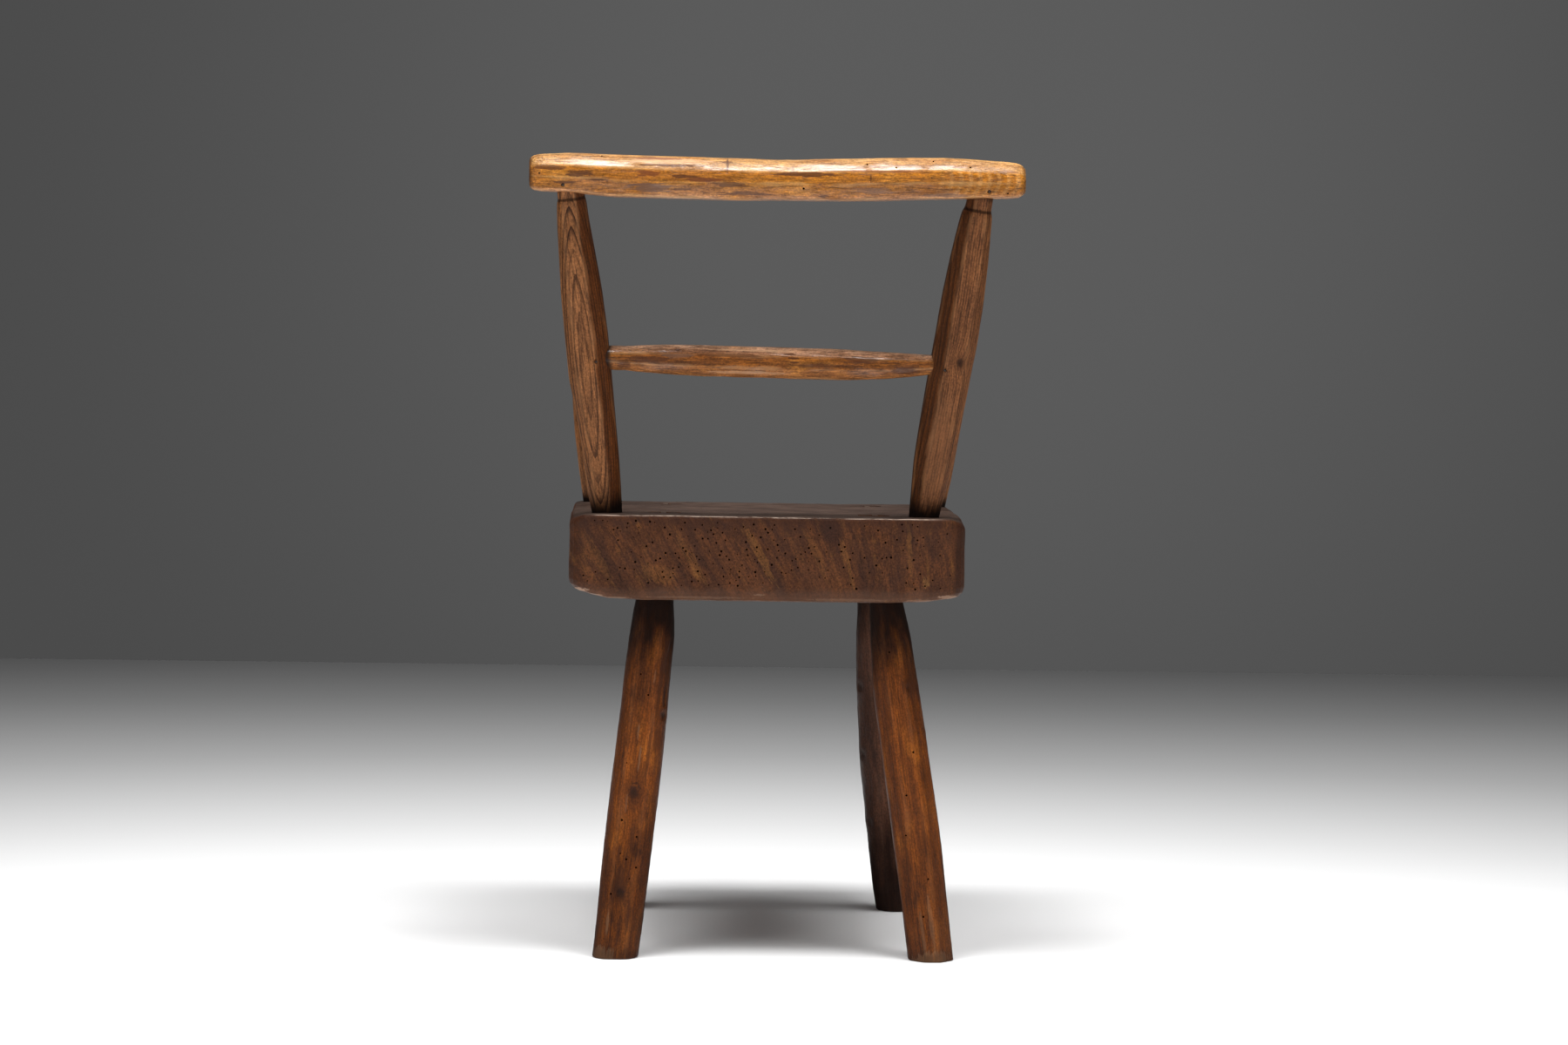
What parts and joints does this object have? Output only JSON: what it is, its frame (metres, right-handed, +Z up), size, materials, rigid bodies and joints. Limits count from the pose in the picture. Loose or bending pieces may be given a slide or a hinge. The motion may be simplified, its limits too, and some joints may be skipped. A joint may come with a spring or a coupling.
{
  "type": "child's armchair",
  "caption": "Rustic staked child's armchair: a thick slab seat on splayed wedged legs, a raked railed back and round arms on posts, all of shaved sticks nailed at the joints.",
  "frame": {"origin": "on the floor, under the middle of the whole chair's box", "axes": "+Z up; the sitter faces +Y; +X towards the sitter's right hand, so the picture shows the chair from -Y"},
  "size_m": [0.354, 0.3055, 0.5791],
  "materials": {
    "seat_wood": "old dark chocolate brown wood, worn and dusty, with beetle holes",
    "leg_wood": "red-brown shaved wood, hand-polished",
    "post_wood": "brown shaved wood, hand-polished",
    "rail_wood": "golden brown shaved wood, hand-polished",
    "arm_wood": "golden brown shaved wood, polished by hands",
    "crest_wood": "honey-coloured shaved wood, glossy on top",
    "wedge_wood": "brown end grain",
    "nail_iron": "dark hand-made iron"
  },
  "bodies": {
    "root": {"seat_slab": "seat_wood", "leg_rear_left": "leg_wood", "leg_rear_right": "leg_wood", "leg_front_left": "leg_wood", "leg_front_right": "leg_wood", "leg_wedge_rear_left": "wedge_wood", "leg_wedge_rear_right": "wedge_wood", "leg_wedge_front_left": "wedge_wood", "leg_wedge_front_right": "wedge_wood", "post_rear_left": "post_wood", "post_rear_right": "post_wood", "post_front_left": "post_wood", "post_front_right": "post_wood", "arm_left": "arm_wood", "arm_right": "arm_wood", "crest_rail": "crest_wood", "mid_rail": "rail_wood", "crest_nail_left": "nail_iron", "crest_nail_right": "nail_iron", "rail_nail_left": "nail_iron", "rail_nail_right": "nail_iron", "arm_rear_nail_left": "nail_iron", "arm_rear_nail_right": "nail_iron", "arm_front_nail_left": "nail_iron", "arm_front_nail_right": "nail_iron"}
  },
  "joints": []
}
